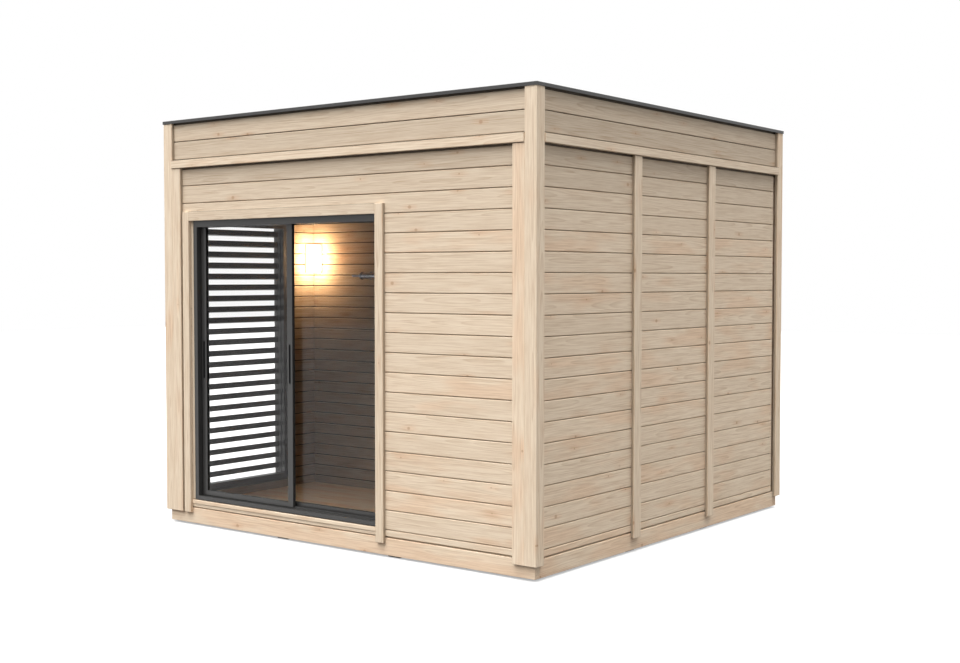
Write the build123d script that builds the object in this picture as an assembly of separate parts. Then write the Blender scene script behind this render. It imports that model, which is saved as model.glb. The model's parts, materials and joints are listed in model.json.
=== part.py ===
from build123d import *
import os

# Outdoor sauna cabin, square in plan, with a flat roof behind a boarded fascia.
# Units are millimetres. +Z is up, the front faces -Y and +X is to the right of
# someone who looks at the front. The origin is the centre of the ground contact.

# Overall plan
CABIN_WIDTH = 3020.0          # left to right, over the faces of the corner posts
CABIN_DEPTH = 3020.0          # front to back, over the faces of the corner posts
TRIM_THICKNESS = 22.0         # posts, battens and casings stand this far off the cladding
WALL_THICKNESS = 100.0
JOINT_GAP = 0.5               # open joint between butted timbers that stay separate pieces
OVERCUT = 1.0                 # how far a cut runs past the face that it opens

# Base
PAD_SIZE = 90.0
PAD_HEIGHT = 13.0
PAD_INSET = 30.0              # from the faces of the plinth boards
PLINTH_HEIGHT = 109.0
PLINTH_THICKNESS = 45.0

# Cladding rows, which set the height of the walls
STARTER_HEIGHT = 41.0         # narrow strip between the plinth and the first full board
BOARD_COVER = 115.0
BOARD_ROWS = 19

# Roof
TRIM_BAND_HEIGHT = 62.0
TRIM_BAND_THICKNESS = 30.0
FASCIA_ABOVE_BAND = 255.0
FASCIA_THICKNESS = 20.0
ROOF_DECK_THICKNESS = 160.0   # at its high edge, at the front
ROOF_FALL = 30.0              # the deck is this much lower at the back
UPSTAND_THICKNESS = 45.0
MEMBRANE_THICKNESS = 4.0
COPING_SHEET = 3.0
COPING_DRIP_HEIGHT = 26.0
COPING_INNER_LIP = 18.0
COPING_CLEARANCE = 1.0        # between the drip edge and the faces of the posts
COPING_INWARD_REACH = 12.0    # past the inner face of the upstand

# Corner posts, edge boards and battens
POST_FRONT_LEG = 80.0
POST_SIDE_LEG = 76.0
EDGE_BOARD_WIDTH = 80.0
BATTEN_WIDTH = 82.0
BATTEN_MARGIN = 1026.0        # from a wall's outer face to the middle of the nearest batten
TRIM_OVER_PLINTH = 37.0       # posts, battens and casings end this far below the wall's foot

# Front doorway
DOOR_MARGIN = 218.0           # from the left wall's outer face to the opening in the front wall
DOOR_WIDTH = 1631.0           # between the two side casings
DOOR_HEAD_ABOVE_STARTER = 1839.0
CASING_WIDTH = 60.0
RIGHT_CASING_LAP = 41.0       # how far the right casing laps over the door unit and its lining
LINING_THICKNESS = 23.0       # timber lining at the sides of the opening, flush with the cladding
SILL_HEIGHT = 53.0            # from the wall's foot to the top of the timber sill
SILL_NOSE_HEIGHT = 30.0
SILL_NOSE_PROUD = 6.0

# Sliding door unit, measured back from the face of the cladding
FRAME_RECESS = 1.0
JAMB_WIDTH = 33.0
FRONT_LIP_THICKNESS = 27.0    # deep front of the frame, before the outer leaf
LIP_THICKNESS = 4.0           # lips of the head, between and behind the leaves
HEAD_WEB = 26.0
HEAD_LIP_DROP = 15.0          # from the underside of the head's web to the foot of its lips
TRACK_HEIGHT = 24.0
RIB_HEIGHT = 12.0
RIB_THICKNESS = 4.0
LEAF_THICKNESS = 22.0
LEAF_FACE_GAP = 5.0           # between a leaf and the lips beside it
LEAF_SIDE_GAP = 5.0
LEAF_HEAD_GAP = 5.0
LEAF_FOOT_GAP = 6.0
STILE_WIDTH = 45.0
TOP_RAIL_HEIGHT = 14.0
BOTTOM_RAIL_HEIGHT = 29.0
OUTER_LEAF_WIDTH = 838.0
LEAF_OVERLAP = 82.0
JAMB_HOUSING = 20.0           # how far the fixed leaf is let into the right jamb
HOUSING_CLEARANCE = 0.3
GROOVE_SIDE_GAP = 5.0         # between the guide rib and the sides of the leaf's groove
GROOVE_SEAT_GAP = 0.4         # the leaf runs on the rib with this clearance
DOOR_GLASS_THICKNESS = 6.0
GLASS_REBATE = 8.0            # depth of the glass in stiles and rails
REBATE_CLEARANCE = 0.3
HANDLE_LENGTH = 250.0
HANDLE_WIDTH = 20.0
HANDLE_DEPTH = 9.0
HANDLE_WALL = 2.0
HANDLE_CENTRE_ABOVE_STARTER = 932.0

# Side window and its louvre, in the left wall
WINDOW_FRONT_MARGIN = 150.0   # from the front face of the cladding to the opening
WINDOW_FOOT_ABOVE_STARTER = 29.0
WINDOW_HEAD_ABOVE_STARTER = 1853.0
WINDOW_FRAME_WIDTH = 35.0
WINDOW_FRAME_DEPTH = 60.0
WINDOW_GLASS_THICKNESS = 8.0
LOUVRE_DEPTH = 34.0
LOUVRE_RECESS = 3.0
SLAT_HEAD_GAP = 18.0          # from the window frame's head to the first slat
SLAT_PITCH = 75.7
SLAT_HEIGHT = 37.5
SLAT_FALL = 5.5               # the outer edge of a slat is this much lower, to shed water

# Partition between the front room and the hot room
PARTITION_SETBACK = 1255.0    # from the front face of the cladding to its front face
PARTITION_THICKNESS = 90.0
DOORWAY_MARGIN = 738.0        # from the right wall's inner face to the doorway
DOORWAY_WIDTH = 700.0
DOORWAY_HEIGHT = 1880.0

# Lamp in the corner between the left wall and the partition
LAMP_CENTRE_HEIGHT = 1770.0
LAMP_HEIGHT = 200.0
LAMP_RADIUS = 90.0
LAMP_TIMBER = 12.0            # thickness of the two legs of its back
SHADE_SETBACK = 3.0           # from the ends of the back to the shade
SHADE_THICKNESS = 4.0

# Bar fitting on the partition: a knob, a collar and a body on two round plates
FITTING_MARGIN = 435.0        # from the left wall's inner face to the end of the knob
FITTING_HEIGHT = 1645.0
FITTING_REACH = 45.0          # from the partition to the middle of the bar
KNOB_LENGTH = 85.0
KNOB_RADIUS = 9.0
COLLAR_LENGTH = 8.0
COLLAR_RADIUS = 27.0
BODY_LENGTH = 190.0
BODY_RADIUS = 22.0
STEM_RADIUS = 10.0
STEM_INSET = 45.0             # from each end of the body to the middle of a stem
PLATE_RADIUS = 27.0
PLATE_THICKNESS = 6.0

# Values worked out from the sizes above
FACE_X = CABIN_WIDTH / 2 - TRIM_THICKNESS
FACE_Y = CABIN_DEPTH / 2 - TRIM_THICKNESS
INNER_X = FACE_X - WALL_THICKNESS
INNER_Y = FACE_Y - WALL_THICKNESS
WALL_FOOT = PAD_HEIGHT + PLINTH_HEIGHT
STARTER_TOP = WALL_FOOT + STARTER_HEIGHT
WALL_TOP = STARTER_TOP + BOARD_COVER * BOARD_ROWS
FASCIA_TOP = WALL_TOP + TRIM_BAND_HEIGHT + FASCIA_ABOVE_BAND
TRIM_FOOT = WALL_FOOT - TRIM_OVER_PLINTH
BATTEN_X = FACE_X - BATTEN_MARGIN
BATTEN_Y = FACE_Y - BATTEN_MARGIN
DOOR_LEFT = -FACE_X + DOOR_MARGIN
DOOR_RIGHT = DOOR_LEFT + DOOR_WIDTH
OPENING_RIGHT = DOOR_RIGHT + RIGHT_CASING_LAP
DOOR_HEAD = STARTER_TOP + DOOR_HEAD_ABOVE_STARTER
SILL_TOP = WALL_FOOT + SILL_HEIGHT
WINDOW_FRONT = -FACE_Y + WINDOW_FRONT_MARGIN
WINDOW_REAR = -BATTEN_Y - BATTEN_WIDTH / 2
WINDOW_FOOT = STARTER_TOP + WINDOW_FOOT_ABOVE_STARTER
WINDOW_HEAD = STARTER_TOP + WINDOW_HEAD_ABOVE_STARTER
PARTITION_FRONT = -FACE_Y + PARTITION_SETBACK
PARTITION_BACK = PARTITION_FRONT + PARTITION_THICKNESS
DOORWAY_RIGHT = INNER_X - DOORWAY_MARGIN
DOORWAY_LEFT = DOORWAY_RIGHT - DOORWAY_WIDTH
DOORWAY_HEAD = WALL_FOOT + DOORWAY_HEIGHT

CLEAR_LEFT = DOOR_LEFT + LINING_THICKNESS
CLEAR_RIGHT = OPENING_RIGHT - LINING_THICKNESS
TRACK_LEFT = CLEAR_LEFT + JAMB_WIDTH
TRACK_RIGHT = CLEAR_RIGHT - JAMB_WIDTH
LEAF_CHANNEL = LEAF_THICKNESS + 2 * LEAF_FACE_GAP
FRAME_FRONT = -FACE_Y + FRAME_RECESS
OUTER_LEAF_MIDDLE = FRAME_FRONT + FRONT_LIP_THICKNESS + LEAF_CHANNEL / 2
INNER_LEAF_MIDDLE = OUTER_LEAF_MIDDLE + LEAF_CHANNEL + LIP_THICKNESS
FRAME_BACK = INNER_LEAF_MIDDLE + LEAF_CHANNEL / 2 + LIP_THICKNESS
OUTER_LEAF_FRONT = OUTER_LEAF_MIDDLE - LEAF_THICKNESS / 2
GROOVE_DEPTH = RIB_HEIGHT - LEAF_FOOT_GAP + GROOVE_SEAT_GAP
GROOVE_WIDTH = RIB_THICKNESS + 2 * GROOVE_SIDE_GAP
LEAF_FOOT = SILL_TOP + TRACK_HEIGHT + LEAF_FOOT_GAP
LEAF_HEAD = DOOR_HEAD - HEAD_WEB - LEAF_HEAD_GAP
OUTER_LEAF_LEFT = TRACK_LEFT + LEAF_SIDE_GAP
OUTER_LEAF_RIGHT = OUTER_LEAF_LEFT + OUTER_LEAF_WIDTH
INNER_LEAF_LEFT = OUTER_LEAF_RIGHT - LEAF_OVERLAP
INNER_LEAF_RIGHT = TRACK_RIGHT + JAMB_HOUSING


def slab(x0, x1, y0, y1, z0, z1):
    """A box between two opposite corners."""
    centre = ((x0 + x1) / 2, (y0 + y1) / 2, (z0 + z1) / 2)
    return Pos(*centre) * Box(x1 - x0, y1 - y0, z1 - z0)


def write(name, *solids):
    """Writes one node, whose solids are pieces that don't touch each other."""
    shape = solids[0] if len(solids) == 1 else Compound(children=list(solids))
    export_step(shape, f"parts/{name}.step")


def mirrored_x(shape):
    """The same piece on the other side of the middle plane."""
    return mirror(shape, about=Plane.YZ)


def build_base():
    """Pads, plinth boards and the floor that they frame."""
    edge_x = FACE_X - PLINTH_THICKNESS
    edge_y = FACE_Y - PLINTH_THICKNESS
    half = PAD_SIZE / 2
    x_end = FACE_X - PAD_INSET - half
    y_end = FACE_Y - PAD_INSET - half
    places = [(x, y) for x in (-BATTEN_X, BATTEN_X) for y in (-y_end, -BATTEN_Y, BATTEN_Y, y_end)]
    places += [(x, y) for x in (-x_end, x_end) for y in (-BATTEN_Y, BATTEN_Y)]
    pads = [slab(x - half, x + half, y - half, y + half, 0, PAD_HEIGHT) for x, y in places]
    write("support_pads", *pads)
    front = slab(-FACE_X, FACE_X, -FACE_Y, -edge_y, PAD_HEIGHT, WALL_FOOT)
    back = slab(-FACE_X, FACE_X, edge_y, FACE_Y, PAD_HEIGHT, WALL_FOOT)
    right = slab(edge_x, FACE_X, -edge_y + JOINT_GAP, edge_y - JOINT_GAP, PAD_HEIGHT, WALL_FOOT)
    write("plinth_boards", front, back, mirrored_x(right), right)
    write("floor_deck", slab(-edge_x, edge_x, -edge_y, edge_y, PAD_HEIGHT, WALL_FOOT))


def build_front_wall():
    """The front wall, split beside and over the sliding door."""
    y0, y1 = -FACE_Y, -INNER_Y
    write("front_wall_left", slab(-FACE_X, DOOR_LEFT, y0, y1, WALL_FOOT, WALL_TOP))
    write("front_wall_right", slab(OPENING_RIGHT, FACE_X, y0, y1, WALL_FOOT, WALL_TOP))
    write("front_wall_over_door", slab(DOOR_LEFT, OPENING_RIGHT, y0, y1, DOOR_HEAD, WALL_TOP))


def build_other_walls():
    """The right and back walls, and the left wall round its window."""
    write("right_wall", slab(INNER_X, FACE_X, -INNER_Y, INNER_Y, WALL_FOOT, WALL_TOP))
    write("back_wall", slab(-FACE_X, FACE_X, INNER_Y, FACE_Y, WALL_FOOT, WALL_TOP))
    x0, x1 = -FACE_X, -INNER_X
    write("left_wall_front", slab(x0, x1, -INNER_Y, WINDOW_FRONT, WALL_FOOT, WALL_TOP))
    write("left_wall_rear", slab(x0, x1, WINDOW_REAR, INNER_Y, WALL_FOOT, WALL_TOP))
    write("left_wall_over_window", slab(x0, x1, WINDOW_FRONT, WINDOW_REAR, WINDOW_HEAD, WALL_TOP))
    write("left_wall_under_window", slab(x0, x1, WINDOW_FRONT, WINDOW_REAR, WALL_FOOT, WINDOW_FOOT))


def build_partition():
    """The partition between the two rooms, split beside and over its doorway."""
    y0, y1 = PARTITION_FRONT, PARTITION_BACK
    write("partition_left", slab(-INNER_X, DOORWAY_LEFT, y0, y1, WALL_FOOT, WALL_TOP))
    write("partition_right", slab(DOORWAY_RIGHT, INNER_X, y0, y1, WALL_FOOT, WALL_TOP))
    write("partition_over_doorway", slab(DOORWAY_LEFT, DOORWAY_RIGHT, y0, y1, DOORWAY_HEAD, WALL_TOP))


def roof_slope(y_half, front, back, x_half, thickness):
    """A sheet or wedge under a top that falls from front to back."""
    if thickness is None:
        low_front = low_back = WALL_TOP
    else:
        low_front, low_back = front - thickness, back - thickness
    points = [(-y_half, low_front), (y_half, low_back), (y_half, back), (-y_half, front)]
    return extrude(make_face(Plane.YZ * Polyline(*points, close=True)), x_half, both=True)


def build_roof_deck():
    """The deck that falls to the back, its upstands under the coping, and its membrane."""
    x_out = FACE_X - FASCIA_THICKNESS
    y_out = FACE_Y - FASCIA_THICKNESS
    x_in = x_out - UPSTAND_THICKNESS
    y_in = y_out - UPSTAND_THICKNESS
    front = WALL_TOP + ROOF_DECK_THICKNESS
    back = front - ROOF_FALL
    write("roof_deck", roof_slope(y_in, front, back, x_in, None))
    membrane = roof_slope(y_in, front + MEMBRANE_THICKNESS, back + MEMBRANE_THICKNESS, x_in,
                          MEMBRANE_THICKNESS)
    write("roof_membrane", membrane)
    near = slab(-x_out, x_out, -y_out, -y_in, WALL_TOP, FASCIA_TOP)
    far = slab(-x_out, x_out, y_in, y_out, WALL_TOP, FASCIA_TOP)
    right = slab(x_in, x_out, -y_in + JOINT_GAP, y_in - JOINT_GAP, WALL_TOP, FASCIA_TOP)
    write("roof_upstands", near, far, mirrored_x(right), right)


def build_fascia():
    """Fascia boards flush with the cladding, and the trim band along their foot."""
    z0, z1 = WALL_TOP, FASCIA_TOP
    y_in = FACE_Y - FASCIA_THICKNESS
    front = slab(-FACE_X, FACE_X, -FACE_Y, -y_in, z0, z1)
    back = slab(-FACE_X, FACE_X, y_in, FACE_Y, z0, z1)
    right = slab(FACE_X - FASCIA_THICKNESS, FACE_X, -y_in + JOINT_GAP, y_in - JOINT_GAP, z0, z1)
    write("fascia_boards", front, back, mirrored_x(right), right)
    z2 = WALL_TOP + TRIM_BAND_HEIGHT
    x_end = FACE_X + TRIM_THICKNESS - POST_FRONT_LEG
    y_end = FACE_Y + TRIM_THICKNESS - POST_SIDE_LEG
    band_front = slab(-x_end, x_end, -FACE_Y - TRIM_BAND_THICKNESS, -FACE_Y, z0, z2)
    band_back = slab(-x_end, x_end, FACE_Y, FACE_Y + TRIM_BAND_THICKNESS, z0, z2)
    band_right = slab(FACE_X, FACE_X + TRIM_BAND_THICKNESS, -y_end, y_end, z0, z2)
    write("trim_bands", band_front, band_back, mirrored_x(band_right), band_right)


def build_coping():
    """Folded metal coping: a drip edge, a flat top and an inner lip, mitred at the corners."""
    x_drip = FACE_X + TRIM_THICKNESS + COPING_CLEARANCE
    y_drip = FACE_Y + TRIM_THICKNESS + COPING_CLEARANCE
    x_out = x_drip + COPING_SHEET
    y_out = y_drip + COPING_SHEET
    reach = FASCIA_THICKNESS + UPSTAND_THICKNESS + COPING_INWARD_REACH
    x_lip = FACE_X - reach
    y_lip = FACE_Y - reach
    top = FASCIA_TOP + COPING_SHEET
    ring = slab(-x_out, x_out, -y_out, y_out, top - COPING_DRIP_HEIGHT, top)
    ring -= slab(-x_drip, x_drip, -y_drip, y_drip, top - COPING_DRIP_HEIGHT - OVERCUT, FASCIA_TOP)
    ring -= slab(-x_lip, x_lip, -y_lip, y_lip, FASCIA_TOP - OVERCUT, top + OVERCUT)
    x_hem = x_lip + COPING_SHEET
    y_hem = y_lip + COPING_SHEET
    foot = FASCIA_TOP - COPING_INNER_LIP
    lip = slab(-x_hem, x_hem, -y_hem, y_hem, foot, FASCIA_TOP)
    lip -= slab(-x_lip, x_lip, -y_lip, y_lip, foot - OVERCUT, FASCIA_TOP + OVERCUT)
    ring += lip
    mitres = []
    for angle in (45, -45):
        length = 2 * (x_out + y_out)
        mitres.append(Rot(0, 0, angle) * Box(length, JOINT_GAP, 4 * FASCIA_TOP))
    pieces = ring - mitres[0] - mitres[1]
    write("roof_coping", *pieces.solids())


def corner_post():
    """One corner post, an L of two boards, at the front right corner."""
    x1 = FACE_X + TRIM_THICKNESS
    y0 = -FACE_Y - TRIM_THICKNESS
    front = slab(x1 - POST_FRONT_LEG, x1, y0, -FACE_Y, TRIM_FOOT, FASCIA_TOP)
    side = slab(FACE_X, x1, -FACE_Y, y0 + POST_SIDE_LEG, TRIM_FOOT, FASCIA_TOP)
    return front + side


def build_posts_and_battens():
    """Corner posts, the boards beside the front posts, and the wall battens."""
    front_right = corner_post()
    back_right = mirror(front_right, about=Plane.XZ)
    write("corner_posts", front_right, mirrored_x(front_right), back_right, mirrored_x(back_right))
    x1 = FACE_X + TRIM_THICKNESS - POST_FRONT_LEG
    edge = slab(x1 - EDGE_BOARD_WIDTH, x1, -FACE_Y - TRIM_THICKNESS, -FACE_Y, TRIM_FOOT, WALL_TOP)
    write("front_edge_boards", edge, mirrored_x(edge))
    half = BATTEN_WIDTH / 2
    rights = []
    backs = []
    for side in (-1, 1):
        low, high = side * BATTEN_Y - half, side * BATTEN_Y + half
        rights.append(slab(FACE_X, FACE_X + TRIM_THICKNESS, low, high, TRIM_FOOT, WALL_TOP))
        low, high = side * BATTEN_X - half, side * BATTEN_X + half
        backs.append(slab(low, high, FACE_Y, FACE_Y + TRIM_THICKNESS, TRIM_FOOT, WALL_TOP))
    write("wall_battens", *rights, *[mirrored_x(batten) for batten in rights], *backs)


def build_door_casing():
    """Casing boards round the doorway, its timber lining, and the sill under the door unit."""
    y0, y1 = -FACE_Y - TRIM_THICKNESS, -FACE_Y
    left = slab(DOOR_LEFT - CASING_WIDTH, DOOR_LEFT, y0, y1, TRIM_FOOT, DOOR_HEAD + CASING_WIDTH)
    right = slab(DOOR_RIGHT, DOOR_RIGHT + CASING_WIDTH, y0, y1, TRIM_FOOT, DOOR_HEAD + CASING_WIDTH)
    write("door_casing_sides", left, right)
    write("door_casing_head", slab(DOOR_LEFT, DOOR_RIGHT, y0, y1, DOOR_HEAD, DOOR_HEAD + CASING_WIDTH))
    y0, y1 = -FACE_Y, -INNER_Y
    lining_left = slab(DOOR_LEFT, CLEAR_LEFT, y0, y1, SILL_TOP, DOOR_HEAD)
    lining_right = slab(CLEAR_RIGHT, OPENING_RIGHT, y0, y1, SILL_TOP, DOOR_HEAD)
    write("door_lining", lining_left, lining_right)
    board = slab(DOOR_LEFT, OPENING_RIGHT, -FACE_Y, -INNER_Y, WALL_FOOT, SILL_TOP)
    nose = slab(DOOR_LEFT, DOOR_RIGHT, -FACE_Y - SILL_NOSE_PROUD, -FACE_Y, SILL_TOP - SILL_NOSE_HEIGHT,
                SILL_TOP)
    write("door_sill", board + nose)


def door_extrusion(outline, x0, x1):
    """A section in the YZ plane, drawn out from left to right."""
    profile = make_face(Plane.YZ * Polyline(*outline, close=True))
    return Pos((x0 + x1) / 2, 0, 0) * extrude(profile, (x1 - x0) / 2, both=True)


def head_outline():
    """Section of the door's head: a web with three lips, which form a channel for each leaf."""
    web = DOOR_HEAD - HEAD_WEB
    foot = web - HEAD_LIP_DROP
    outline = [(FRAME_BACK, DOOR_HEAD), (FRAME_FRONT, DOOR_HEAD), (FRAME_FRONT, foot)]
    for middle in (OUTER_LEAF_MIDDLE, INNER_LEAF_MIDDLE):
        y0 = middle - LEAF_CHANNEL / 2
        y1 = middle + LEAF_CHANNEL / 2
        outline += [(y0, foot), (y0, web), (y1, web), (y1, foot)]
    outline.append((FRAME_BACK, foot))
    return outline


def track_outline():
    """Section of the door's track: a bar with a guide rib under each leaf."""
    deck = SILL_TOP + TRACK_HEIGHT
    outline = [(FRAME_BACK, SILL_TOP), (FRAME_FRONT, SILL_TOP), (FRAME_FRONT, deck)]
    for middle in (OUTER_LEAF_MIDDLE, INNER_LEAF_MIDDLE):
        y0 = middle - RIB_THICKNESS / 2
        y1 = middle + RIB_THICKNESS / 2
        outline += [(y0, deck), (y0, deck + RIB_HEIGHT), (y1, deck + RIB_HEIGHT), (y1, deck)]
    outline.append((FRAME_BACK, deck))
    return outline


def build_door_frame():
    """Frame of the sliding door: two jambs, the head and the track."""
    left = slab(CLEAR_LEFT, TRACK_LEFT, FRAME_FRONT, FRAME_BACK, SILL_TOP, DOOR_HEAD)
    right = slab(TRACK_RIGHT, CLEAR_RIGHT, FRAME_FRONT, FRAME_BACK, SILL_TOP, DOOR_HEAD)
    reach = LEAF_THICKNESS / 2 + HOUSING_CLEARANCE
    right -= slab(TRACK_RIGHT - OVERCUT, INNER_LEAF_RIGHT + HOUSING_CLEARANCE,
                  INNER_LEAF_MIDDLE - reach, INNER_LEAF_MIDDLE + reach,
                  LEAF_FOOT - HOUSING_CLEARANCE, LEAF_HEAD + HOUSING_CLEARANCE)
    write("door_frame_jambs", left, right)
    write("door_frame_head", door_extrusion(head_outline(), TRACK_LEFT, TRACK_RIGHT))
    write("door_frame_track", door_extrusion(track_outline(), TRACK_LEFT, TRACK_RIGHT))


def leaf_parts(x0, x1, middle):
    """Stiles, rails and glass of one leaf, whose thickness is centred on a plane."""
    y0, y1 = middle - LEAF_THICKNESS / 2, middle + LEAF_THICKNESS / 2
    sight_left, sight_right = x0 + STILE_WIDTH, x1 - STILE_WIDTH
    sight_foot, sight_head = LEAF_FOOT + BOTTOM_RAIL_HEIGHT, LEAF_HEAD - TOP_RAIL_HEIGHT
    half = DOOR_GLASS_THICKNESS / 2
    seat = half + REBATE_CLEARANCE
    rebate = slab(sight_left - GLASS_REBATE, sight_right + GLASS_REBATE, middle - seat, middle + seat,
                  sight_foot - GLASS_REBATE, sight_head + GLASS_REBATE)
    groove = slab(x0 - OVERCUT, x1 + OVERCUT, middle - GROOVE_WIDTH / 2, middle + GROOVE_WIDTH / 2,
                  LEAF_FOOT - OVERCUT, LEAF_FOOT + GROOVE_DEPTH)
    stiles = [
        slab(x0, sight_left, y0, y1, LEAF_FOOT, LEAF_HEAD) - rebate - groove,
        slab(sight_right, x1, y0, y1, LEAF_FOOT, LEAF_HEAD) - rebate - groove,
    ]
    rails = [
        slab(sight_left, sight_right, y0, y1, LEAF_FOOT, sight_foot) - rebate - groove,
        slab(sight_left, sight_right, y0, y1, sight_head, LEAF_HEAD) - rebate,
    ]
    grow = GLASS_REBATE - REBATE_CLEARANCE
    glass = slab(sight_left - grow, sight_right + grow, middle - half, middle + half,
                 sight_foot - grow, sight_head + grow)
    return stiles, rails, glass


def pull_block(x_centre, inset, depth):
    """A slot-shaped block sunk into the outer leaf's face, smaller than the pull by an inset."""
    z_centre = STARTER_TOP + HANDLE_CENTRE_ABOVE_STARTER
    face = Plane(origin=(x_centre, OUTER_LEAF_FRONT, z_centre), x_dir=(1, 0, 0), z_dir=(0, -1, 0))
    outline = SlotOverall(HANDLE_LENGTH - 2 * inset, HANDLE_WIDTH - 2 * inset, rotation=90)
    return extrude(face * outline, -depth)


def build_leaves():
    """The sliding outer leaf with its two recessed pulls, and the fixed inner leaf."""
    stiles, rails, glass = leaf_parts(OUTER_LEAF_LEFT, OUTER_LEAF_RIGHT, OUTER_LEAF_MIDDLE)
    pulled_stiles = []
    handles = []
    stile_middles = (OUTER_LEAF_LEFT + STILE_WIDTH / 2, OUTER_LEAF_RIGHT - STILE_WIDTH / 2)
    for stile, x_centre in zip(stiles, stile_middles):
        block = pull_block(x_centre, 0, HANDLE_DEPTH)
        pulled_stiles.append(stile - block)
        handles.append(block - pull_block(x_centre, HANDLE_WALL, HANDLE_DEPTH - HANDLE_WALL))
    write("sliding_leaf_stiles", *pulled_stiles)
    write("sliding_leaf_rails", *rails)
    write("sliding_leaf_glass", glass)
    write("sliding_leaf_handles", *handles)
    stiles, rails, glass = leaf_parts(INNER_LEAF_LEFT, INNER_LEAF_RIGHT, INNER_LEAF_MIDDLE)
    write("fixed_leaf_stiles", *stiles)
    write("fixed_leaf_rails", *rails)
    write("fixed_leaf_glass", glass)


def build_window():
    """The fixed side window: frame and pane inside, a slatted louvre outside."""
    x_in = -INNER_X
    x_out = x_in - WINDOW_FRAME_DEPTH
    sight_front, sight_rear = WINDOW_FRONT + WINDOW_FRAME_WIDTH, WINDOW_REAR - WINDOW_FRAME_WIDTH
    sight_foot, sight_head = WINDOW_FOOT + WINDOW_FRAME_WIDTH, WINDOW_HEAD - WINDOW_FRAME_WIDTH
    half = WINDOW_GLASS_THICKNESS / 2
    x_mid = (x_in + x_out) / 2
    grow = GLASS_REBATE
    seat = half + REBATE_CLEARANCE
    pocket = slab(x_mid - seat, x_mid + seat, sight_front - grow, sight_rear + grow,
                  sight_foot - grow, sight_head + grow)
    stiles = [
        slab(x_out, x_in, WINDOW_FRONT, sight_front, WINDOW_FOOT, WINDOW_HEAD) - pocket,
        slab(x_out, x_in, sight_rear, WINDOW_REAR, WINDOW_FOOT, WINDOW_HEAD) - pocket,
    ]
    rails = [
        slab(x_out, x_in, sight_front, sight_rear, WINDOW_FOOT, sight_foot) - pocket,
        slab(x_out, x_in, sight_front, sight_rear, sight_head, WINDOW_HEAD) - pocket,
    ]
    write("window_stiles", *stiles)
    write("window_rails", *rails)
    rim = GLASS_REBATE - REBATE_CLEARANCE
    write("window_glass", slab(x_mid - half, x_mid + half, sight_front - rim, sight_rear + rim,
                               sight_foot - rim, sight_head + rim))
    write("window_louvre", louvre(sight_front, sight_rear, sight_foot, sight_head))


def louvre(sight_front, sight_rear, sight_foot, sight_head):
    """The louvre: two side posts that carry slats, set in the wall's outer face."""
    x0 = -FACE_X + LOUVRE_RECESS
    x1 = x0 + LOUVRE_DEPTH
    panel = slab(x0, x1, WINDOW_FRONT, sight_front, WINDOW_FOOT, WINDOW_HEAD)
    panel += slab(x0, x1, sight_rear, WINDOW_REAR, WINDOW_FOOT, WINDOW_HEAD)
    section = [(x1, 0), (x0, -SLAT_FALL), (x0, -SLAT_FALL - SLAT_HEIGHT), (x1, -SLAT_HEIGHT)]
    length = sight_rear - sight_front
    slat = extrude(make_face(Plane.XZ * Polyline(*section, close=True)), length / 2, both=True)
    z = sight_head - SLAT_HEAD_GAP
    while z - SLAT_HEIGHT - SLAT_FALL > sight_foot:
        panel += Pos(0, (sight_front + sight_rear) / 2, z) * slat
        z -= SLAT_PITCH
    return panel


def quarter_round(radius, z0, z1):
    """A quarter of a disc that fills the corner between the left wall and the partition."""
    corner = Pos(-INNER_X, PARTITION_FRONT, (z0 + z1) / 2)
    quadrant = Pos(radius / 2, -radius / 2, 0) * Box(radius, radius, z1 - z0)
    return corner * (Cylinder(radius, z1 - z0) & quadrant)


def build_lamp():
    """Corner lamp: a timber back with two legs, and a closed quarter-round shade between them."""
    z0, z1 = LAMP_CENTRE_HEIGHT - LAMP_HEIGHT / 2, LAMP_CENTRE_HEIGHT + LAMP_HEIGHT / 2
    x0, y1 = -INNER_X, PARTITION_FRONT
    back = slab(x0, x0 + LAMP_RADIUS, y1 - LAMP_TIMBER, y1, z0, z1)
    back += slab(x0, x0 + LAMP_TIMBER, y1 - LAMP_RADIUS, y1, z0, z1)
    write("wall_lamp_base", back)
    rim = LAMP_RADIUS - SHADE_SETBACK
    outside = quarter_round(rim, z0, z1)
    inside = quarter_round(rim - SHADE_THICKNESS, z0 + SHADE_THICKNESS, z1 - SHADE_THICKNESS)
    write("wall_lamp_shade", outside - inside - back)


def build_fitting():
    """Bar fitting on the partition, turned in one piece and held by two stems with round plates."""
    x0 = -INNER_X + FITTING_MARGIN
    x1 = x0 + KNOB_LENGTH
    x2 = x1 + COLLAR_LENGTH
    x3 = x2 + BODY_LENGTH
    outline = [(x0, 0), (x0, KNOB_RADIUS), (x1, KNOB_RADIUS), (x1, COLLAR_RADIUS),
               (x2, COLLAR_RADIUS), (x2, BODY_RADIUS), (x3, BODY_RADIUS), (x3, 0)]
    turned = revolve(make_face(Polyline(*outline, close=True)), Axis.X)
    fitting = Pos(0, PARTITION_FRONT - FITTING_REACH, FITTING_HEIGHT) * turned
    for x in (x2 + STEM_INSET, x3 - STEM_INSET):
        wall = Plane(origin=(x, PARTITION_FRONT, FITTING_HEIGHT), x_dir=(1, 0, 0), z_dir=(0, -1, 0))
        fitting += extrude(wall * Circle(STEM_RADIUS), FITTING_REACH)
        fitting += extrude(wall * Circle(PLATE_RADIUS), PLATE_THICKNESS)
    write("wall_fitting", fitting)


def main():
    """Builds every node of the cabin."""
    os.makedirs("parts", exist_ok=True)
    build_base()
    build_front_wall()
    build_other_walls()
    build_partition()
    build_roof_deck()
    build_fascia()
    build_coping()
    build_posts_and_battens()
    build_door_casing()
    build_door_frame()
    build_leaves()
    build_window()
    build_lamp()
    build_fitting()


main()
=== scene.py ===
"""Looks of the outdoor sauna cabin: boarded walls, dark metal door and window, glass, lamp and roof."""

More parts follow.
